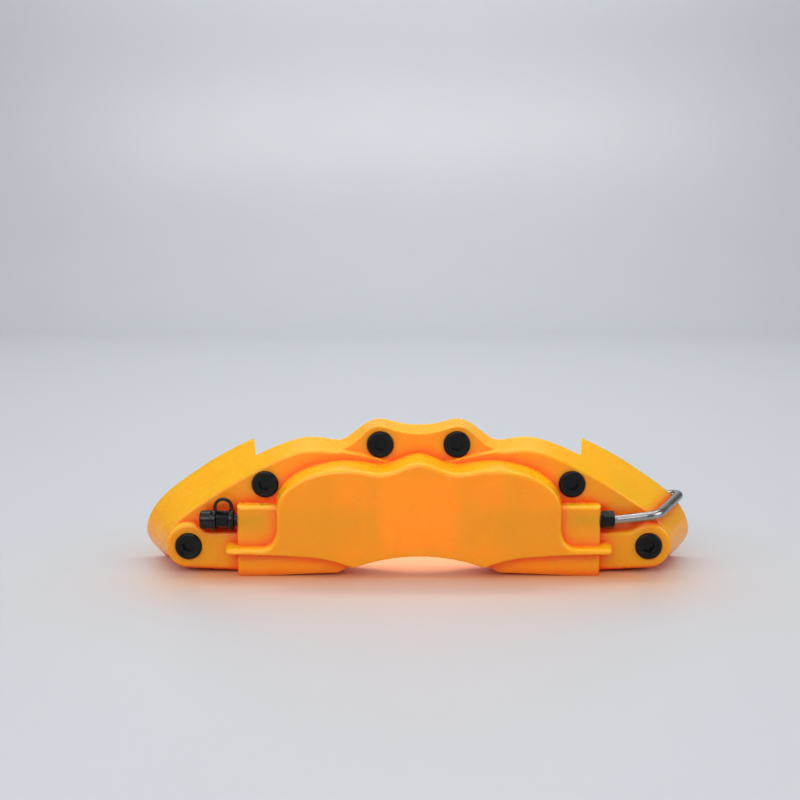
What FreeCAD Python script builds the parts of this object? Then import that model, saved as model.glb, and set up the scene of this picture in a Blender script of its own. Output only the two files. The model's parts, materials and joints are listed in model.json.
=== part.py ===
import FreeCAD, Part
import math
import os

os.makedirs("parts", exist_ok=True)
Vec = FreeCAD.Vector

# Decorative brake caliper cover, all lengths in mm.
# X runs left to right seen from the front, the front faces -Y, Z is up.
# Z = 0 is the surface the cover stands on. Depths are drawn from the open rear rim, and
# every piece is then moved so that the origin is in the middle of the footprint.

# Depth of each layer, drawn from the rear rim
rim_y = 0.0
centre_rear_y = -15.0
wing_y = -27.0
lug_y = -32.0
block_y = -36.8
panel_y = -42.0
depth = rim_y - wing_y

# Moulding
wall = 2.4
pad_recess = 1.8
panel_draft = 0.16
block_half = 89.2
block_top = 35.0
arch_radius = 89.0
arch_height = 11.2

# Low-head M8 socket screws with thin hexagon nuts
screw_centres = {
    "top": (19.0, 63.6),
    "mid": (76.2, 43.9),
    "end": (114.0, 13.7),
}
face_y = {"top": wing_y + pad_recess, "mid": wing_y, "end": lug_y}
head_radius = 6.5
head_height = 5.0
head_proud = 1.2
head_clearance = 0.2
shank_radius = 4.0
shank_length = 10.0
socket_flats = 6.0
socket_depth = 3.6
dish_radius = 4.9
dish_depth = 0.9
nut_flats = 13.0
nut_height = 4.0
boss_radius = 9.6
seat_thickness = 3.0

# Bleed nipple on the left and pipe union on the right share one axis height
port_y = -32.6
port_z = 27.3
insert_radius = 2.9
insert_length = 12.0
tube_radius = 2.25
hook_y = 3.6

# Slotted steel brackets behind the panel
bracket_sheet = 1.5
bracket_y = -27.0
bracket_z = 29.0
bracket_screw_x = (34.0, 52.0)
slot_travel = 4.0

# The tube stands furthest back and the panel furthest forward
frame_shift = -(panel_y + hook_y + tube_radius) / 2.0


def save(shape, name):
    """Write one piece, moved from the rear rim to the origin of the part's frame."""
    shape.translated(Vec(0, frame_shift, 0)).exportStep("parts/%s.step" % name)


def offset_points(points, distance):
    """Move a clockwise closed polygon inwards by a distance."""
    moved = []
    count = len(points)
    for index in range(count):
        before = points[index - 1]
        here = points[index]
        after = points[(index + 1) % count]
        normals = []
        for start, end in ((before, here), (here, after)):
            length = math.hypot(end[0] - start[0], end[1] - start[1])
            normals.append(((end[1] - start[1]) / length, (start[0] - end[0]) / length))
        spread = 1.0 + normals[0][0] * normals[1][0] + normals[0][1] * normals[1][1]
        shift_x = distance * (normals[0][0] + normals[1][0]) / spread
        shift_z = distance * (normals[0][1] + normals[1][1]) / spread
        moved.append((here[0] + shift_x, here[1] + shift_z))
    return moved


def offset_outline(outline, distance):
    """Offset an outline made of chained segments and keep its segments."""
    corners = []
    for segment in outline:
        corners.extend(segment[:-1])
    moved = offset_points(corners, distance)
    moved.append(moved[0])
    result = []
    first = 0
    for segment in outline:
        last = first + len(segment) - 1
        result.append(moved[first:last + 1])
        first = last
    return result


def blend_outline(front, rear, fraction):
    """Section of the flared wall part of the way from front to rear."""
    result = []
    for front_segment, rear_segment in zip(front, rear):
        segment = []
        for near, far in zip(front_segment, rear_segment):
            x = near[0] + (far[0] - near[0]) * fraction
            z = near[1] + (far[1] - near[1]) * fraction
            segment.append((x, z))
        result.append(segment)
    return result


def outline_edges(outline, y):
    """Lines for two-point segments and smooth curves for longer ones."""
    edges = []
    for segment in outline:
        points = [Vec(x, y, z) for x, z in segment]
        if len(points) == 2:
            edges.append(Part.makeLine(points[0], points[1]))
        else:
            steps = [index / (len(points) - 1.0) for index in range(len(points))]
            curve = Part.BSplineCurve()
            curve.interpolate(Points=points, Parameters=steps)
            edges.append(curve.toShape())
    return edges


def lofted(sections):
    """Solid through outlines at given depths with straight rulings."""
    wires = [Part.Wire(outline_edges(outline, y)) for outline, y in sections]
    return Part.makeLoft(wires, True, True)


def both_sides(half):
    """Mirror a half curve that starts on the centre line to the left side."""
    left = [(-x, z) for x, z in reversed(half)]
    return left + half[1:]


def mirrored_chain(segments):
    """Left-hand copies of right-hand segments, in clockwise order."""
    return [[(-x, z) for x, z in reversed(segment)] for segment in reversed(segments)]


def cylinder_y(x, z, radius, start, end):
    return Part.makeCylinder(radius, end - start, Vec(x, start, z), Vec(0, 1, 0))


def cylinder_x(y, z, radius, start, end):
    return Part.makeCylinder(radius, end - start, Vec(start, y, z), Vec(1, 0, 0))


def hexagon(flats, length, base, axis, turn=0.0):
    """Hexagonal prism along an axis, measured across its flats."""
    corner = flats / math.sqrt(3.0)
    points = []
    for index in range(7):
        angle = math.radians(60.0 * index + turn)
        points.append(Vec(corner * math.cos(angle), corner * math.sin(angle), 0))
    prism = Part.Face(Part.makePolygon(points)).extrude(Vec(0, 0, length))
    prism.Placement = FreeCAD.Placement(base, FreeCAD.Rotation(Vec(0, 0, 1), axis))
    return prism


def box(x0, x1, y0, y1, z0, z1):
    return Part.makeBox(x1 - x0, y1 - y0, z1 - z0, Vec(x0, y0, z0))


def edges_at_depth(solid, y, keep):
    """Edges lying in one plane of constant Y that pass a test on their middle point."""
    found = []
    for edge in solid.Edges:
        span = edge.BoundBox
        if abs(span.YMin - y) < 0.01 and abs(span.YMax - y) < 0.01 and keep(span.Center):
            found.append(edge)
    return found


def closed_edges(solid, low, high):
    """Circular edges whose X position lies between two values."""
    found = []
    for edge in solid.Edges:
        if edge.Closed and low < edge.BoundBox.Center.x < high:
            found.append(edge)
    return found


def tube_path(points, bend_radii):
    """Wire through the points with each inner corner rounded by an arc of its own radius."""
    edges = []
    start = points[0]
    for index, bend_radius in enumerate(bend_radii, 1):
        corner = points[index]
        back = (points[index - 1] - corner).normalize()
        ahead = (points[index + 1] - corner).normalize()
        half_angle = back.getAngle(ahead) / 2.0
        reach = bend_radius / math.tan(half_angle)
        entry = corner + back * reach
        leave = corner + ahead * reach
        towards = (back + ahead).normalize()
        middle = corner + towards * (bend_radius / math.sin(half_angle) - bend_radius)
        edges.append(Part.makeLine(start, entry))
        edges.append(Part.Arc(entry, middle, leave).toShape())
        start = leave
    edges.append(Part.makeLine(start, points[-1]))
    return Part.Wire(edges)


def swept(path, radius):
    """Round bar along a path."""
    start = path.Edges[0].Vertexes[0].Point
    direction = path.Edges[0].tangentAt(path.Edges[0].FirstParameter)
    ring = Part.Wire(Part.makeCircle(radius, start, direction))
    return path.makePipeShell([ring], True, False)


# Flared wing: front and rear outlines with matching points
wing_front_half = [
    (0.0, 68.2), (10.0, 69.5), (19.0, 72.1), (25.5, 69.6), (33.0, 62.8), (42.0, 60.3),
    (56.0, 60.5), (75.0, 53.7), (95.0, 42.8), (105.0, 36.2), (113.3, 30.8), (119.5, 25.6),
    (124.2, 19.6), (125.7, 13.2), (124.0, 7.4), (119.9, 3.4), (114.0, 2.0),
]
wing_rear_half = [
    (0.0, 77.0), (10.4, 77.8), (19.7, 79.1), (29.8, 75.6), (37.6, 71.0), (43.0, 69.8),
    (58.0, 72.2), (80.9, 64.6), (102.0, 54.0), (112.6, 47.3), (121.4, 41.3), (130.6, 34.1),
    (138.3, 24.9), (141.6, 15.5), (140.2, 9.2), (136.8, 4.6), (132.4, 0.0),
]
wing_front = [both_sides(wing_front_half), [wing_front_half[-1], (-114.0, 2.0)]]
wing_rear = [both_sides(wing_rear_half), [wing_rear_half[-1], (-132.4, 0.0)]]

# The front edge of the wing is rounded by a fan of narrow bands
wing_round = 1.2
wing_sections = []
for step in range(5):
    turn = math.radians(22.5 * step)
    back = wing_round * (1.0 - math.cos(turn))
    inset = wing_round * (1.0 - math.sin(turn))
    band = offset_outline(blend_outline(wing_front, wing_rear, back / depth), inset)
    wing_sections.append((band, wing_y + back))
wing_sections.append((wing_rear, rim_y))
wing = lofted(wing_sections)

# The middle of the cover stops short of the wings, with slanted steps between
back_points = [
    Vec(-82.0, centre_rear_y, -5.0), Vec(82.0, centre_rear_y, -5.0), Vec(85.4, rim_y + 3.0, -5.0),
    Vec(-85.4, rim_y + 3.0, -5.0), Vec(-82.0, centre_rear_y, -5.0),
]
back_gap = Part.Face(Part.makePolygon(back_points)).extrude(Vec(0, 0, 100.0))
wing = wing.cut(back_gap)

# Shallow pads round the two top screws
pad_crease = [(0.0, 50.0), (12.0, 53.0), (20.0, 56.2), (30.0, 58.5), (40.0, 60.3)]
pad_outline = [
    [(-46.0, 84.0), (46.0, 84.0)],
    [(46.0, 84.0), (40.0, 60.3)],
    both_sides(pad_crease)[::-1],
    [(-40.0, 60.3), (-46.0, 84.0)],
]
pad_floor = wing_y + pad_recess
pad_cut = lofted([(pad_outline, wing_y - 0.02), (offset_outline(pad_outline, 1.4), pad_floor)])
pad_backing = lofted([(pad_outline, pad_floor), (pad_outline, pad_floor + wall)])

# Block layer behind the panel, also the skirt either side of the arch
block_bottom = [(78.0, 0.0), (60.0, 0.9), (41.0, 1.7)]
block_side = [
    [(block_half, block_top), (block_half, 0.0)],
    [(block_half, 0.0), (78.0, 0.0)],
    block_bottom,
]
block_outline = [[(-block_half, block_top), (block_half, block_top)]] + block_side
block_outline += [[(41.0, 1.7), (-41.0, 1.7)]] + mirrored_chain(block_side)
block = lofted([(block_outline, block_y), (block_outline, centre_rear_y)])
block = block.makeFillet(2.0, edges_at_depth(block, block_y, lambda middle: middle.z > 10.0))

# Arm and lug layer at each end
arm_outline = [
    [(86.0, 20.8), (102.5, 20.8)],
    [(102.5, 20.8), (105.7, 21.4), (108.4, 23.2), (111.2, 24.5), (114.2, 24.9)],
    [(114.2, 24.9), (120.0, 23.3), (124.0, 18.9), (125.2, 13.7), (124.0, 8.6), (120.0, 4.2), (113.8, 2.5)],
    [(113.8, 2.5), (86.0, 1.2)],
    [(86.0, 1.2), (86.0, 20.8)],
]
arm = lofted([(arm_outline, lug_y), (offset_outline(arm_outline, -0.4), wing_y + 1.0)])
arm = arm.makeFillet(2.0, edges_at_depth(arm, lug_y, lambda middle: True))
arms = arm.fuse(arm.mirror(Vec(0, 0, 0), Vec(1, 0, 0)))

# Raised centre panel with its two thin fingers
panel_top = both_sides([
    (0.0, 57.1), (9.0, 54.5), (18.0, 52.0), (27.0, 53.1), (37.0, 53.9), (47.0, 52.6),
    (56.0, 49.7), (63.0, 45.3), (67.3, 40.0), (69.0, 33.0),
])
panel_side = [
    [(69.0, 33.0), (69.0, 24.5)],
    [(69.0, 24.5), (71.3, 17.2), (77.0, 14.5)],
    [(77.0, 14.5), (92.4, 14.5)],
    [(92.4, 14.5), (93.8, 13.25), (92.4, 12.0)],
    [(92.4, 12.0), (72.0, 11.7), (52.0, 10.4), (41.0, 8.4), (32.0, 5.5)],
]
panel_arch = both_sides([(0.0, arch_height), (16.0, 9.8), (32.0, 5.5)])[::-1]
panel_outline = [panel_top] + panel_side + [panel_arch] + mirrored_chain(panel_side)
panel_back = wing_y + 1.0
panel_base = offset_outline(panel_outline, -panel_draft * (panel_back - panel_y))
panel = lofted([(panel_outline, panel_y), (panel_base, panel_back)])
panel = panel.makeFillet(2.2, edges_at_depth(panel, panel_y, lambda middle: middle.z > 17.0))
panel = panel.makeFillet(0.7, edges_at_depth(panel, panel_y, lambda middle: middle.z < 14.0))

# Solid form of the moulding, with the arch cut through every layer
arch_z = arch_height - arch_radius
arch = cylinder_y(0.0, arch_z, arch_radius, -60.0, 10.0)
form = wing.cut(pad_cut).fuse([block, arms, panel]).cut(arch)

# Hollow inside of the moulding, open at the back
hollow_front = offset_outline(blend_outline(wing_front, wing_rear, wall / depth), wall)
hollow_rear = offset_outline(blend_outline(wing_front, wing_rear, 1.1), wall)
hollow = lofted([(hollow_front, wing_y + wall), (hollow_rear, rim_y + 0.1 * depth)])
hollow = hollow.cut(pad_backing)
block_inside = offset_outline(block_outline, wall)
hollow_block = lofted([(block_inside, block_y + wall), (block_inside, centre_rear_y + 1.0)])
arm_inside = offset_outline(arm_outline, wall)
hollow_arm = lofted([(arm_inside, lug_y + wall), (arm_inside, wing_y + wall + 1.0)])
hollow_arms = hollow_arm.fuse(hollow_arm.mirror(Vec(0, 0, 0), Vec(1, 0, 0)))
panel_inside = [
    panel_top,
    [(69.0, 33.0), (69.0, 13.5)],
    [(69.0, 13.5), (52.0, 12.6), (41.0, 10.6), (32.0, 7.8)],
    both_sides([(0.0, 12.0), (16.0, 11.0), (32.0, 7.8)])[::-1],
    [(-32.0, 7.8), (-41.0, 10.6), (-52.0, 12.6), (-69.0, 13.5)],
    [(-69.0, 13.5), (-69.0, 33.0)],
]
inside_back = wing_y + wall + 1.0
panel_slack = wall - panel_draft * (inside_back - panel_y)
hollow_panel = lofted([
    (offset_outline(panel_inside, wall), panel_y + wall),
    (offset_outline(panel_inside, panel_slack), inside_back),
])
arch_wall = cylinder_y(0.0, arch_z, arch_radius + wall, -60.0, 10.0)
inside = hollow.fuse([hollow_block, hollow_arms, hollow_panel]).cut(arch_wall)
cover = form.cut(inside)

# Bosses, posts and ribs grow from the inside and never break the outer form
growth = []
for row, (x, z) in screw_centres.items():
    seat = face_y[row] - head_proud + head_height
    for side in (-1.0, 1.0):
        growth.append(cylinder_y(side * x, z, boss_radius, face_y[row] + 0.5, seat + 2.0 * seat_thickness))
for side in (-1.0, 1.0):
    port_start = side * block_half if side < 0 else block_half - 15.0
    growth.append(cylinder_x(port_y, port_z, 5.2, port_start, port_start + 15.0))
    for x in bracket_screw_x:
        growth.append(cylinder_y(side * x, bracket_z, 5.0, panel_y + 1.0, bracket_y))
    for x in (20.0, 43.0):
        growth.append(box(side * x - 0.8, side * x + 0.8, panel_y + 1.0, wing_y - 0.5, 8.0, 54.0))
    growth.append(box(side * 96.0 - 0.8, side * 96.0 + 0.8, lug_y + 1.0, -10.0, 0.0, 60.0))
grommet_x = 107.0
grommet_z = 29.0
grommet_y = -16.0
growth.append(cylinder_y(grommet_x, grommet_z, 6.2, wing_y + 1.0, grommet_y))
growth = growth[0].fuse(growth[1:]).common(form)
cover = cover.fuse(growth)

# Counterbores, screw holes, nut pockets and insert holes
holes = []
for row, (x, z) in screw_centres.items():
    seat = face_y[row] - head_proud + head_height
    for side in (-1.0, 1.0):
        holes.append(cylinder_y(side * x, z, head_radius + head_clearance, face_y[row] - 3.0, seat))
        holes.append(cylinder_y(side * x, z, shank_radius + 0.3, seat - 1.0, seat + 10.0))
        pocket = Vec(side * x, seat + seat_thickness, z)
        holes.append(hexagon(nut_flats + 0.2, 20.0, pocket, Vec(0, 1, 0)))
for side in (-1.0, 1.0):
    port_start = -block_half - 1.0 if side < 0 else block_half - insert_length
    holes.append(cylinder_x(port_y, port_z, insert_radius, port_start, port_start + insert_length + 1.0))
    for x in bracket_screw_x:
        holes.append(cylinder_y(side * x, bracket_z, 3.3, bracket_y - 10.0, bracket_y + 1.0))
holes.append(cylinder_y(grommet_x, grommet_z, 3.8, grommet_y - 8.0, grommet_y + 1.0))
cover = cover.cut(holes[0].fuse(holes[1:]))
save(cover, "cover_shell")

# Cover screws, each with a shallow dished face and a hexagon socket, and their nuts
nuts = []
for row, (x, z) in screw_centres.items():
    front = face_y[row] - head_proud
    seat = front + head_height
    for side, word in ((-1.0, "left"), (1.0, "right")):
        head = cylinder_y(side * x, z, head_radius, front, seat)
        head = head.makeFillet(0.9, edges_at_depth(head, front, lambda middle: True))
        screw = head.fuse(cylinder_y(side * x, z, shank_radius, seat, seat + shank_length))
        screw = screw.cut(cylinder_y(side * x, z, dish_radius, front - 1.0, front + dish_depth))
        socket_start = Vec(side * x, front - 1.0, z)
        socket = hexagon(socket_flats, socket_depth + 1.0, socket_start, Vec(0, 1, 0), 15.0)
        screw = screw.cut(socket)
        save(screw, "screw_%s_%s" % (row, word))
        start = seat + seat_thickness
        nut = hexagon(nut_flats, nut_height, Vec(side * x, start, z), Vec(0, 1, 0))
        bore = cylinder_y(side * x, z, shank_radius + 0.05, start - 1.0, start + nut_height + 1.0)
        nuts.append(nut.cut(bore))
save(Part.makeCompound(nuts), "captive_nuts")

# Brass inserts for the two ports
port_bore = 2.4
for side, name in ((-1.0, "nipple_insert"), (1.0, "pipe_insert")):
    start = -block_half if side < 0 else block_half - insert_length
    insert = cylinder_x(port_y, port_z, insert_radius, start, start + insert_length)
    bore = cylinder_x(port_y, port_z, port_bore + 0.04, start - 1.0, start + insert_length + 1.0)
    save(insert.cut(bore), name)

# Bleed nipple pointing left, with a through bore
nipple = cylinder_x(port_y, port_z, port_bore, -block_half, -79.0)
nipple = nipple.fuse([
    cylinder_x(port_y, port_z, 3.1, -93.8, -block_half),
    hexagon(8.0, 5.6, Vec(-93.8, port_y, port_z), Vec(-1, 0, 0)),
    cylinder_x(port_y, port_z, 2.5, -106.3, -99.4),
])
nipple = nipple.cut(cylinder_x(port_y, port_z, 1.0, -107.0, -78.0))
save(nipple, "bleed_nipple")

# Rubber dust cap, moulded in one with the ring round the nipple neck and the strap
ring = cylinder_x(port_y, port_z, 5.5, -93.6, -91.0)
ring = ring.makeFillet(0.6, closed_edges(ring, -100.0, 0.0))
flange = cylinder_x(port_y, port_z, 5.5, -101.1, -99.6)
flange = flange.makeFillet(0.4, closed_edges(flange, -110.0, 0.0))
cup = cylinder_x(port_y, port_z, 4.8, -107.8, -99.6)
cup = cup.makeFillet(1.1, closed_edges(cup, -110.0, -105.0))
strap_x = -96.3
strap_z = 33.6
strap_foot = port_z + 4.6
strap_edges = []
for radius in (4.9, 3.3):
    left = Vec(strap_x - radius, port_y - 1.1, strap_z)
    right = Vec(strap_x + radius, port_y - 1.1, strap_z)
    strap_edges.append(Part.Arc(left, Vec(strap_x, port_y - 1.1, strap_z + radius), right).toShape())
    strap_edges.append(Part.makeLine(left, Vec(left.x, left.y, strap_foot)))
    strap_edges.append(Part.makeLine(right, Vec(right.x, right.y, strap_foot)))
for middle in (strap_x - 4.1, strap_x + 4.1):
    near = Vec(middle - 0.8, port_y - 1.1, strap_foot)
    strap_edges.append(Part.makeLine(near, near + Vec(1.6, 0, 0)))
strap = Part.Face(Part.Wire(Part.__sortEdges__(strap_edges))).extrude(Vec(0, 2.2, 0))
cap = ring.fuse([flange, cup, strap])
cap = cap.cut(cylinder_x(port_y, port_z, 3.15, -94.0, -90.0))
cap = cap.cut(cylinder_x(port_y, port_z, 2.55, -106.6, -99.0))
save(cap, "dust_cap")

# Pipe union, nut and tube on the right
union = cylinder_x(port_y, port_z, port_bore, 79.0, block_half)
union = union.fuse(cylinder_x(port_y, port_z, 4.0, block_half, 90.4))
union = union.cut(cylinder_x(port_y, port_z, 1.2, 78.0, 92.0))
save(union, "pipe_union")
nut = hexagon(8.0, 5.6, Vec(90.5, port_y, port_z), Vec(1, 0, 0))
rounding = cylinder_x(port_y, port_z, 4.5, 90.5, 96.1)
rounding = rounding.makeFillet(0.5, closed_edges(rounding, 90.0, 97.0))
nut = nut.common(rounding)
save(nut.cut(cylinder_x(port_y, port_z, tube_radius + 0.06, 90.0, 97.0)), "pipe_nut")
route = [
    Vec(90.5, port_y, port_z), Vec(98.0, port_y, port_z), Vec(118.0, port_y, 29.6),
    Vec(139.2, hook_y, 33.6), Vec(124.0, hook_y, 30.4), Vec(grommet_x, hook_y, grommet_z),
    Vec(grommet_x, -23.0, grommet_z),
]
route_wire = tube_path(route, [5.0, 10.0, 5.0, 5.0, 5.0])
tube = swept(route_wire, tube_radius).cut(swept(route_wire, 1.4))
save(tube, "crossover_pipe")

# Rubber grommet that holds the hidden end of the tube
grommet = cylinder_y(grommet_x, grommet_z, 3.8, grommet_y - 8.0, grommet_y)
grommet = grommet.fuse(cylinder_y(grommet_x, grommet_z, 5.2, grommet_y, grommet_y + 1.6))
grommet = grommet.cut(cylinder_y(grommet_x, grommet_z, tube_radius, grommet_y - 9.0, grommet_y + 3.0))
save(grommet, "pipe_grommet")

# Slotted brackets, their rubber pads, screws, washers and inserts
washers = []
inserts = []
foot_back = bracket_y + bracket_sheet
for side, word in ((-1.0, "left"), (1.0, "right")):
    strip_points = [
        Vec(23.0, bracket_y + 0.75, bracket_z), Vec(62.75, bracket_y + 0.75, bracket_z),
        Vec(62.75, -2.25, bracket_z), Vec(80.0, -2.25, bracket_z),
    ]
    low = bracket_z - 8.0
    high = bracket_z + 8.0
    section = Part.makePolygon([
        Vec(23.0, bracket_y, low), Vec(23.0, foot_back, low), Vec(23.0, foot_back, high),
        Vec(23.0, bracket_y, high), Vec(23.0, bracket_y, low),
    ])
    bracket = tube_path(strip_points, [1.8, 1.8]).makePipeShell([section], True, False)
    for x in bracket_screw_x:
        front = bracket_y - 1.0
        back = foot_back + 1.0
        slot = box(x - slot_travel, x + slot_travel, front, back, bracket_z - 2.8, bracket_z + 2.8)
        for end in (x - slot_travel, x + slot_travel):
            slot = slot.fuse(cylinder_y(end, bracket_z, 2.8, front, back))
        bracket = bracket.cut(slot)
    bracket = bracket.cut(cylinder_y(72.5, bracket_z, 3.25, -5.0, 1.0))
    pad = box(66.0, 80.0, -1.5, 0.0, low, high).cut(cylinder_y(72.5, bracket_z, 3.6, -5.0, 1.0))
    if side < 0:
        bracket = bracket.mirror(Vec(0, 0, 0), Vec(1, 0, 0))
        pad = pad.mirror(Vec(0, 0, 0), Vec(1, 0, 0))
    save(bracket, "bracket_%s" % word)
    save(pad, "bracket_pad_%s" % word)
    for x, place in zip(bracket_screw_x, ("inner", "outer")):
        centre = side * x
        washer = cylinder_y(centre, bracket_z, 5.0, foot_back, foot_back + 1.0)
        washers.append(washer.cut(cylinder_y(centre, bracket_z, 2.7, foot_back - 1.0, foot_back + 2.0)))
        insert = cylinder_y(centre, bracket_z, 3.3, bracket_y - 9.0, bracket_y)
        inserts.append(insert.cut(cylinder_y(centre, bracket_z, 2.54, bracket_y - 10.0, bracket_y + 1.0)))
        seat = foot_back + 1.0
        head = cylinder_y(centre, bracket_z, 4.25, seat, seat + 5.0)
        head = head.makeFillet(0.5, edges_at_depth(head, seat + 5.0, lambda middle: True))
        screw = head.fuse(cylinder_y(centre, bracket_z, 2.5, seat - 9.0, seat))
        screw = screw.cut(hexagon(4.0, 3.0, Vec(centre, seat + 2.5, bracket_z), Vec(0, 1, 0)))
        save(screw, "bracket_screw_%s_%s" % (word, place))
save(Part.makeCompound(washers), "bracket_washers")
save(Part.makeCompound(inserts), "bracket_inserts")
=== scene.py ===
import json
import math

import bmesh
import bpy
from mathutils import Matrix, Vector


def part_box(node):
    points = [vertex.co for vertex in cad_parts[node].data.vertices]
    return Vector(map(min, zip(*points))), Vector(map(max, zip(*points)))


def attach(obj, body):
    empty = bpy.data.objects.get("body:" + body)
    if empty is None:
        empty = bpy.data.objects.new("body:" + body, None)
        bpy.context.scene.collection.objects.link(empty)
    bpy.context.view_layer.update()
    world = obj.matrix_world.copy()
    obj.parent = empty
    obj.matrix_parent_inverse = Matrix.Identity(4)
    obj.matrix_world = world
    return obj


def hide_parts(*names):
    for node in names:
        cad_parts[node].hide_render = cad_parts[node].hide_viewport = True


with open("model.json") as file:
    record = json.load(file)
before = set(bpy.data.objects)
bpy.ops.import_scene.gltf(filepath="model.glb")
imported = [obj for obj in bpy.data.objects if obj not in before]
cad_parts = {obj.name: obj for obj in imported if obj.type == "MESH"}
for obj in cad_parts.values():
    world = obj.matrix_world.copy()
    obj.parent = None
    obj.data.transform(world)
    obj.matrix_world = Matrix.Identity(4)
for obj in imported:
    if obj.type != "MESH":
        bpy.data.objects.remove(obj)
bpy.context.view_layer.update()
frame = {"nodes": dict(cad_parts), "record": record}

MM = 0.001


# ---------------------------------------------------------------- node helpers

def start_material(name):
    mat = bpy.data.materials.new(name)
    mat.use_nodes = True
    tree = mat.node_tree
    for old in list(tree.nodes):
        tree.nodes.remove(old)
    return mat, tree


def node(tree, kind, values=None, **settings):
    """A node with its settings, and its inputs set to numbers or linked to sockets."""
    made = tree.nodes.new(kind)
    for key, value in settings.items():
        setattr(made, key, value)
    for key, value in (values or {}).items():
        if isinstance(value, bpy.types.NodeSocket):
            tree.links.new(value, made.inputs[key])
        else:
            made.inputs[key].default_value = value
    return made


def noise(tree, where, scale, detail=3.0, rough=0.5, stretch=None):
    vector = where
    if stretch:
        vector = node(tree, "ShaderNodeMapping", {"Vector": where, "Scale": stretch}).outputs[0]
    values = {"Vector": vector, "Scale": scale, "Detail": detail, "Roughness": rough}
    return node(tree, "ShaderNodeTexNoise", values).outputs[0]


def mapped(tree, value, low, high, out_low, out_high):
    values = {0: value, 1: low, 2: high, 3: out_low, 4: out_high}
    return node(tree, "ShaderNodeMapRange", values, clamp=True).outputs[0]


def maths(tree, operation, first, second):
    return node(tree, "ShaderNodeMath", {0: first, 1: second}, operation=operation).outputs[0]


def colour_mix(tree, factor, first, second):
    values = {0: factor, 6: first, 7: second}
    return node(tree, "ShaderNodeMix", values, data_type="RGBA", blend_type="MIX").outputs[2]


def finish_material(tree, values, height, distance, strength, bevel=0.0):
    """Principled surface with bump, over softened edges where a bevel radius is given."""
    bump_values = {"Height": height, "Distance": distance, "Strength": strength}
    if bevel:
        bevelled = node(tree, "ShaderNodeBevel", {"Radius": bevel}, samples=4)
        bump_values["Normal"] = bevelled.outputs[0]
    values["Normal"] = node(tree, "ShaderNodeBump", bump_values).outputs[0]
    surface = node(tree, "ShaderNodeBsdfPrincipled", values)
    out = node(tree, "ShaderNodeOutputMaterial")
    tree.links.new(surface.outputs[0], out.inputs[0])


def place(tree):
    return node(tree, "ShaderNodeTexCoord").outputs["Object"]


# ------------------------------------------------------------------- materials

def make_cover_plastic():
    """Glossy translucent ABS, with painted light: upward faces painted yellower as a painted highlight
    from the top light, and concave corners painted red as a painted glow of light bleeding out of them.
    """
    mat, tree = start_material("cover_plastic")
    where = place(tree)
    # Painted highlight: the more a face points up, the yellower its colour, standing in for the top light
    # falling on it
    facing = node(tree, "ShaderNodeNewGeometry").outputs["Normal"]
    upward = node(tree, "ShaderNodeSeparateXYZ", {0: facing}).outputs[2]
    painted_top_light = mapped(tree, upward, 0.0, 0.8, 0.0, 1.0)
    flow = noise(tree, where, 14.0, 2.0)
    painted_top_light = maths(tree, "ADD", painted_top_light, mapped(tree, flow, 0.35, 0.65, -0.008, 0.008))
    colour = colour_mix(tree, painted_top_light, (0.84, 0.325, 0.003, 1), (0.90, 0.43, 0.005, 1))
    # Painted glow: concave corners found by ambient occlusion are painted red, standing in for light that
    # bounces and bleeds out of them
    near = node(tree, "ShaderNodeAmbientOcclusion", {"Distance": 0.006}, samples=8).outputs["AO"]
    corner = mapped(tree, near, 0.45, 0.95, 1.0, 0.0)
    colour = colour_mix(tree, corner, colour, (0.90, 0.085, 0.008, 1))
    smear = noise(tree, where, 60.0, 4.0, 0.6)
    gloss = mapped(tree, smear, 0.35, 0.7, 0.25, 0.29)
    peel = noise(tree, where, 700.0, 2.0)
    grain = noise(tree, where, 2600.0, 2.0)
    height = maths(tree, "ADD", peel, maths(tree, "MULTIPLY", grain, 0.25))
    values = {
        "Base Color": colour, "Roughness": gloss, "IOR": 1.53, "Specular IOR Level": 0.30,
        "Subsurface Weight": 0.75, "Subsurface Radius": (1.0, 0.28, 0.04),
        "Subsurface Scale": 0.006, "Coat Weight": 0.06, "Coat Roughness": 0.15,
    }
    finish_material(tree, values, height, 0.000015, 0.08, 0.0004)
    return mat


def make_black_steel(name, shade):
    """Black oxide steel: fine grain, oily patches and edges rubbed a little brighter."""
    mat, tree = start_material(name)
    where = place(tree)
    patches = noise(tree, where, 260.0, 4.0, 0.6)
    grain = noise(tree, where, 3200.0, 2.0)
    geometry = node(tree, "ShaderNodeNewGeometry")
    soft = node(tree, "ShaderNodeBevel", {"Radius": 0.0004}, samples=4).outputs[0]
    facing = {0: soft, 1: geometry.outputs["Normal"]}
    agree = node(tree, "ShaderNodeVectorMath", facing, operation="DOT_PRODUCT")
    edge = mapped(tree, agree.outputs["Value"], 0.80, 0.98, 1.0, 0.0)
    worn = maths(tree, "MULTIPLY", edge, mapped(tree, patches, 0.45, 0.65, 0.1, 0.8))
    dark = (shade, shade, shade * 1.06, 1)
    oily = (shade * 1.8, shade * 1.8, shade * 1.85, 1)
    base = colour_mix(tree, patches, dark, oily)
    colour = colour_mix(tree, worn, base, (0.055, 0.055, 0.058, 1))
    values = {
        "Base Color": colour, "Metallic": 0.25, "Specular IOR Level": 0.26,
        "Roughness": mapped(tree, patches, 0.3, 0.7, 0.13, 0.24),
    }
    finish_material(tree, values, grain, 0.00003, 0.4, 0.00025)
    return mat


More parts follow.
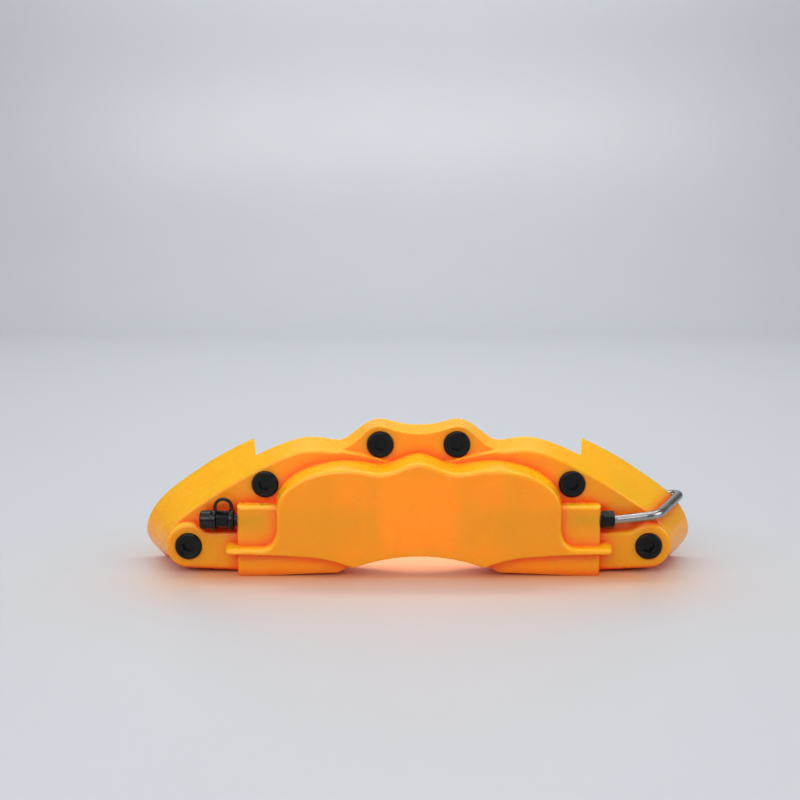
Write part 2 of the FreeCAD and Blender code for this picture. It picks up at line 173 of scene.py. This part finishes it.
def make_rubber(name):
    """Moulded black rubber with fine grain and a trace of dust."""
    mat, tree = start_material(name)
    where = place(tree)
    grain = noise(tree, where, 2400.0, 4.0, 0.6)
    dust = mapped(tree, noise(tree, where, 300.0, 5.0, 0.7), 0.52, 0.75, 0.0, 0.25)
    colour = colour_mix(tree, dust, (0.004, 0.004, 0.0045, 1), (0.028, 0.027, 0.026, 1))
    values = {
        "Base Color": colour, "Roughness": mapped(tree, dust, 0.0, 0.25, 0.18, 0.40),
        "Specular IOR Level": 0.30,
    }
    finish_material(tree, values, grain, 0.00004, 0.5, 0.0002)
    return mat


def make_metal(name, dark, light, rough, stretch, streak_scale):
    """Plated or rolled metal: streaks along one direction, cloudy patches and pin-prick pits."""
    mat, tree = start_material(name)
    where = place(tree)
    streak = noise(tree, where, streak_scale, 4.0, 0.6, stretch)
    cloud = noise(tree, where, 90.0, 3.0, 0.6)
    pits = node(tree, "ShaderNodeTexVoronoi", {"Vector": where, "Scale": 900.0}).outputs["Distance"]
    pitted = mapped(tree, pits, 0.05, 0.18, 0.0, 1.0)
    tone = maths(tree, "MULTIPLY", maths(tree, "ADD", streak, cloud), 0.5)
    colour = colour_mix(tree, mapped(tree, tone, 0.38, 0.62, 0.0, 1.0), dark, light)
    values = {
        "Base Color": colour, "Metallic": 1.0,
        "Roughness": maths(tree, "ADD", mapped(tree, cloud, 0.35, 0.65, -0.05, 0.07), rough),
    }
    height = maths(tree, "ADD", maths(tree, "MULTIPLY", streak, 0.6), maths(tree, "MULTIPLY", pitted, 0.3))
    finish_material(tree, values, height, 0.00004, 0.35, 0.00015)
    return mat


# Directions of the streaks in the metals, as scales of the noise on each axis
no_grain = (1.0, 1.0, 1.0)
along_x = (0.15, 1.0, 1.0)
rolled_along_x = (0.05, 1.0, 1.0)

looks = {
    "cover_plastic": make_cover_plastic(),
    "black_screw": make_black_steel("black_screw", 0.0035),
    "black_steel": make_black_steel("black_steel", 0.003),
    "black_rubber": make_rubber("black_rubber"),
    "zinc_tube": make_metal(
        "zinc_tube", (0.31, 0.307, 0.301, 1), (0.39, 0.384, 0.375, 1), 0.25, along_x, 900.0),
    "zinc_plate": make_metal(
        "zinc_plate", (0.42, 0.44, 0.47, 1), (0.66, 0.68, 0.70, 1), 0.28, no_grain, 500.0),
    "stainless_sheet": make_metal(
        "stainless_sheet", (0.42, 0.42, 0.41, 1), (0.62, 0.62, 0.60, 1), 0.30, rolled_along_x, 1800.0),
    "brass": make_metal(
        "brass", (0.55, 0.36, 0.11, 1), (0.80, 0.58, 0.23, 1), 0.26, no_grain, 700.0),
}
slot_of = {part["node"]: part["material_slot"] for part in frame["record"]["subparts"]}
for name, thing in frame["nodes"].items():
    for place_holder in thing.material_slots:
        place_holder.material = looks[slot_of[name]]


# ---------------------------------------------------------------- soft pieces

def link(name, bm, slot, body, stands_for):
    """Finished object from a mesh, riding on a body in place of a CAD node."""
    mesh = bpy.data.meshes.new(name)
    bmesh.ops.recalc_face_normals(bm, faces=bm.faces)
    bm.to_mesh(mesh)
    bm.free()
    thing = bpy.data.objects.new(name, mesh)
    bpy.context.scene.collection.objects.link(thing)
    mesh.materials.append(looks[slot])
    for face in mesh.polygons:
        face.use_smooth = True
    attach(thing, body)
    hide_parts(stands_for)
    return thing


def closed_ring(bm, profile, origin, axis, across, segments=64):
    """Solid of revolution from a closed loop of (along, radius) points in mm."""
    third = axis.cross(across)
    loops = []
    for along, radius in profile:
        loop = []
        for index in range(segments):
            angle = 2.0 * math.pi * index / segments
            spoke = across * math.cos(angle) + third * math.sin(angle)
            loop.append(bm.verts.new(origin + (axis * along + spoke * radius) * MM))
        loops.append(loop)
    for near, far in zip(loops, loops[1:] + loops[:1]):
        for index in range(segments):
            after = (index + 1) % segments
            bm.faces.new((near[index], near[after], far[after], far[index]))


def rounded(corners, steps=5):
    """Closed profile of (along, radius, rounding) corners with each corner turned into a curve."""
    loop = []
    count = len(corners)
    for index, (along, radius, cut) in enumerate(corners):
        here = Vector((along, radius))
        arms = []
        for other in (corners[index - 1], corners[(index + 1) % count]):
            arm = Vector((other[0], other[1])) - here
            arms.append(here + arm.normalized() * min(cut, arm.length * 0.45))
        if cut == 0.0:
            loop.append((along, radius))
            continue
        for step in range(steps + 1):
            t = step / steps
            point = arms[0] * (1 - t) ** 2 + here * 2 * t * (1 - t) + arms[1] * t ** 2
            loop.append((point.x, point.y))
    return loop


def bar_along(bm, path, half_width, half_thick, sides=16):
    """Soft-cornered strip through a path in the XZ plane, with closed ends."""
    loops = []
    for index, point in enumerate(path):
        tangent = (path[min(index + 1, len(path) - 1)] - path[max(index - 1, 0)]).normalized()
        side = Vector((-tangent.z, 0.0, tangent.x))
        loop = []
        for step in range(sides):
            angle = 2.0 * math.pi * step / sides
            wide = math.copysign(abs(math.cos(angle)) ** 0.5, math.cos(angle)) * half_width
            thick = math.copysign(abs(math.sin(angle)) ** 0.5, math.sin(angle)) * half_thick
            loop.append(bm.verts.new(point + Vector((0, wide, 0)) + side * thick))
        loops.append(loop)
    for near, far in zip(loops, loops[1:]):
        for step in range(sides):
            after = (step + 1) % sides
            bm.faces.new((near[step], near[after], far[after], far[step]))
    bm.faces.new(loops[0])
    bm.faces.new(loops[-1][::-1])


def dust_cap():
    """Ring on the nipple's neck, domed cup over its tip and the loop strap that joins them."""
    low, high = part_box("dust_cap")
    nip_low, nip_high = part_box("bleed_nipple")
    port = Vector((0.0, (nip_low[1] + nip_high[1]) / 2, (nip_low[2] + nip_high[2]) / 2))
    bm = bmesh.new()
    along, across = Vector((1, 0, 0)), Vector((0, 1, 0))
    right = Vector((high[0], port.y, port.z))
    left = Vector((low[0], port.y, port.z))
    collar = [(0, 3.3, 0.5), (0, 5.45, 0.9), (-2.6, 5.45, 0.9), (-2.6, 3.3, 0.5)]
    closed_ring(bm, rounded(collar), right, along, across)
    cup = [
        (1.2, 0.0, 0.0), (0.0, 0.0, 0.0), (0.0, 4.75, 1.6), (5.4, 4.75, 0.5), (6.5, 5.45, 0.5),
        (8.2, 5.45, 0.6), (8.2, 2.75, 0.4), (1.2, 2.75, 0.3),
    ]
    smallest_radius = 0.02
    cup_profile = [(a, max(b, smallest_radius)) for a, b in rounded(cup)]
    closed_ring(bm, cup_profile, left, along, across)
    loop_radius = 4.1 * MM
    loop_x = low[0] + 11.5 * MM
    loop_z = high[2] - 4.9 * MM
    foot_z = port.z + 4.7 * MM
    arc_steps = 24
    path = [Vector((loop_x - loop_radius, port.y, foot_z))]
    for step in range(arc_steps + 1):
        angle = math.pi * (1.0 - step / arc_steps)
        x = loop_x + loop_radius * math.cos(angle)
        path.append(Vector((x, port.y, loop_z + loop_radius * math.sin(angle))))
    path.append(Vector((loop_x + loop_radius, port.y, foot_z)))
    bar_along(bm, path, 1.1 * MM, 0.8 * MM)
    thing = link("dust_cap_rubber", bm, "black_rubber", "dust_cap", "dust_cap")
    fused = thing.modifiers.new("fused", "REMESH")
    fused.mode = "VOXEL"
    fused.voxel_size = 0.2 * MM
    fused.use_smooth_shade = True
    soft = thing.modifiers.new("soft", "CORRECTIVE_SMOOTH")
    soft.use_only_smooth = True
    soft.iterations = 4


def grommet():
    """Flanged sleeve with rolled edges."""
    low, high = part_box("pipe_grommet")
    back = Vector(((low[0] + high[0]) / 2, high[1], (low[2] + high[2]) / 2))
    bm = bmesh.new()
    corners = [
        (0, 2.35, 0.4), (0, 5.15, 0.8), (-1.6, 5.15, 0.5),
        (-1.6, 3.75, 0.2), (-9.55, 3.75, 0.5), (-9.55, 2.35, 0.4),
    ]
    closed_ring(bm, rounded(corners), back, Vector((0, 1, 0)), Vector((1, 0, 0)))
    link("pipe_grommet_rubber", bm, "black_rubber", "cover", "pipe_grommet")


def bracket_pad(word):
    """Round-cornered pad with a hole and shallow ribs on the side that meets the caliper."""
    low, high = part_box("bracket_pad_" + word)
    half = Vector(((high[0] - low[0]) / 2, 0, (high[2] - low[2]) / 2))
    centre = Vector(((low[0] + high[0]) / 2, 0, (low[2] + high[2]) / 2))
    hole_x = math.copysign(72.5 * MM, centre.x)
    hole_radius = 3.6 * MM
    edge_roll = 0.28 * MM
    rib_height = 0.16 * MM
    rib_pitch = 1.6 * MM
    squareness = 0.22
    thick = high[1] - low[1]
    bm = bmesh.new()
    across_steps, round_steps = 18, 120
    sheets = []
    for is_back in (False, True):
        sheet = []
        for step in range(across_steps + 1):
            t = step / across_steps
            loop = []
            for index in range(round_steps):
                angle = 2.0 * math.pi * index / round_steps
                c, s = math.cos(angle), math.sin(angle)
                inner = Vector((hole_x + hole_radius * c, 0, centre.z + hole_radius * s))
                reach_x = math.copysign(abs(c) ** squareness, c) * half.x
                reach_z = math.copysign(abs(s) ** squareness, s) * half.z
                point = inner.lerp(centre + Vector((reach_x, 0, reach_z)), t)
                outer_edge = max(0.0, (t - 0.86) / 0.14)
                hole_edge = max(0.0, (0.10 - t) / 0.10)
                roll = edge_roll * (outer_edge ** 2 + hole_edge ** 2)
                wave = math.cos(2.0 * math.pi * point.z / rib_pitch)
                rib = rib_height * (0.5 - 0.5 * wave)
                rib *= min(1.0, t / 0.2, (1.0 - t) / 0.2)
                y = high[1] - roll - rib if is_back else high[1] - thick + roll
                loop.append(bm.verts.new((point.x, y, point.z)))
            sheet.append(loop)
        sheets.append(sheet)
    for sheet in sheets:
        for near, far in zip(sheet, sheet[1:]):
            for index in range(round_steps):
                after = (index + 1) % round_steps
                bm.faces.new((near[index], near[after], far[after], far[index]))
    for place_at in (0, across_steps):
        for index in range(round_steps):
            after = (index + 1) % round_steps
            front, back = sheets[0][place_at], sheets[1][place_at]
            bm.faces.new((front[index], front[after], back[after], back[index]))
    link("bracket_pad_%s_rubber" % word, bm, "black_rubber", "bracket_" + word, "bracket_pad_" + word)


dust_cap()
grommet()
for word in ("left", "right"):
    bracket_pad(word)


# ----------------------------------------------------------------- the setting

# The scene is laid out from the rear rim of the cover
rim_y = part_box("cover_shell")[1][1]

# Pale paper sweep, with a painted orange glow close to the cover standing in for light that comes through
# the plastic
warm_half_length = 0.105
warm_half_depth = 0.018
warm_middle_y = rim_y - 0.020
warm_fade = -38.0
warm_strength = 0.75
fade_base = 2.718


def painted_glow_round_cover(tree, where):
    """Painted glow: falls away with the distance from a rectangle on the floor under the cover."""
    parted = node(tree, "ShaderNodeSeparateXYZ", {0: where}).outputs
    from_centre = maths(tree, "ABSOLUTE", parted[0], 0.0)
    past_x = maths(tree, "MAXIMUM", maths(tree, "SUBTRACT", from_centre, warm_half_length), 0.0)
    along_y = maths(tree, "SUBTRACT", parted[1], warm_middle_y)
    from_middle = maths(tree, "ABSOLUTE", along_y, 0.0)
    past_y = maths(tree, "MAXIMUM", maths(tree, "SUBTRACT", from_middle, warm_half_depth), 0.0)
    square_x = maths(tree, "MULTIPLY", past_x, past_x)
    square_y = maths(tree, "MULTIPLY", past_y, past_y)
    gap = maths(tree, "POWER", maths(tree, "ADD", square_x, square_y), 0.5)
    fade = maths(tree, "POWER", fade_base, maths(tree, "MULTIPLY", gap, warm_fade))
    return maths(tree, "MULTIPLY", fade, warm_strength)


floor_mat, floor_tree = start_material("floor_paper")
floor_where = place(floor_tree)
mottle = noise(floor_tree, floor_where, 6.0, 3.0)
paper = colour_mix(floor_tree, mottle, (0.53, 0.55, 0.58, 1), (0.555, 0.575, 0.605, 1))
painted_glow = painted_glow_round_cover(floor_tree, floor_where)
# Painted glow: the paper colour is mixed towards orange near the cover
floor_colour = colour_mix(floor_tree, painted_glow, paper, (0.74, 0.28, 0.03, 1))
floor_values = {"Base Color": floor_colour, "Roughness": 0.42, "Specular IOR Level": 0.5}
fibres = noise(floor_tree, floor_where, 900.0, 3.0)
finish_material(floor_tree, floor_values, fibres, 0.00003, 0.2)

# The paper lies flat, curves up behind through a quarter circle and rises as a wall
curve_start_y, curve_radius, curve_steps = 1.6, 0.7, 24
bm = bmesh.new()
depth_line = [(-1.4, 0.0)]
for step in range(curve_steps + 1):
    turn = math.radians(90.0 * step / curve_steps)
    rise = curve_radius - curve_radius * math.cos(turn)
    depth_line.append((curve_start_y + curve_radius * math.sin(turn), rise))
depth_line.append((2.3, 2.6))
rows = [[bm.verts.new((x, y, z)) for x in (-3.0, 3.0)] for y, z in depth_line]
for near, far in zip(rows, rows[1:]):
    bm.faces.new((near[0], near[1], far[1], far[0]))
mesh = bpy.data.meshes.new("floor")
bm.to_mesh(mesh)
bm.free()
for face in mesh.polygons:
    face.use_smooth = True
mesh.materials.append(floor_mat)
floor = bpy.data.objects.new("floor", mesh)
bpy.context.scene.collection.objects.link(floor)


def area_light(name, place_at, aim, size, watts, colour=(1, 1, 1)):
    data = bpy.data.lights.new(name, "AREA")
    data.shape = "RECTANGLE"
    data.size, data.size_y = size
    data.energy = watts
    data.color = colour
    lamp = bpy.data.objects.new(name, data)
    lamp.location = place_at
    lamp.rotation_euler = (Vector(aim) - Vector(place_at)).to_track_quat("-Z", "Y").to_euler()
    bpy.context.scene.collection.objects.link(lamp)
    return lamp


# Large soft lights: four aimed at the middle of the cover, and one that washes the backdrop
cover_middle = (0, rim_y, 0.03)
area_light("top_softbox", (0.0, rim_y - 0.05, 1.15), cover_middle, (1.5, 1.1), 6.4)
area_light("front_softbox", (-0.35, rim_y - 1.25, 0.85), cover_middle, (1.4, 0.9), 11.6)
area_light("right_softbox", (1.2, rim_y - 0.45, 0.6), cover_middle, (0.8, 0.8), 5.5)
area_light("left_softbox", (-1.2, rim_y - 0.45, 0.6), cover_middle, (0.8, 0.8), 4.0)
area_light("backdrop_wash", (0.0, 0.9, 1.9), (0, 2.2, 0.6), (2.4, 0.8), 34.0)

# Small warm light in the open back, standing in for light that passes through the shell
glow_from = (0.0, rim_y + 0.030, 0.048)
glow_aim = (0, rim_y - 0.035, 0.0)
glow = area_light("cavity_glow", glow_from, glow_aim, (0.12, 0.02), 0.08, (1.0, 0.72, 0.42))
glow.visible_camera = False

world = bpy.data.worlds.new("studio")
bpy.context.scene.world = world
world.use_nodes = True
sky = world.node_tree.nodes["Background"]
sky.inputs[0].default_value = (0.90, 0.94, 1.0, 1)
sky.inputs[1].default_value = 0.205
bpy.context.scene.view_settings.view_transform = "Standard"

camera_data = bpy.data.cameras.new("camera")
camera_data.lens = 50.0
camera_data.sensor_width = 36.0
camera = bpy.data.objects.new("camera", camera_data)
camera.location = (-0.00924, rim_y - 0.568, 0.1587)
camera.rotation_euler = (math.radians(82.36), 0.0, 0.0)
bpy.context.scene.collection.objects.link(camera)
bpy.context.scene.camera = camera
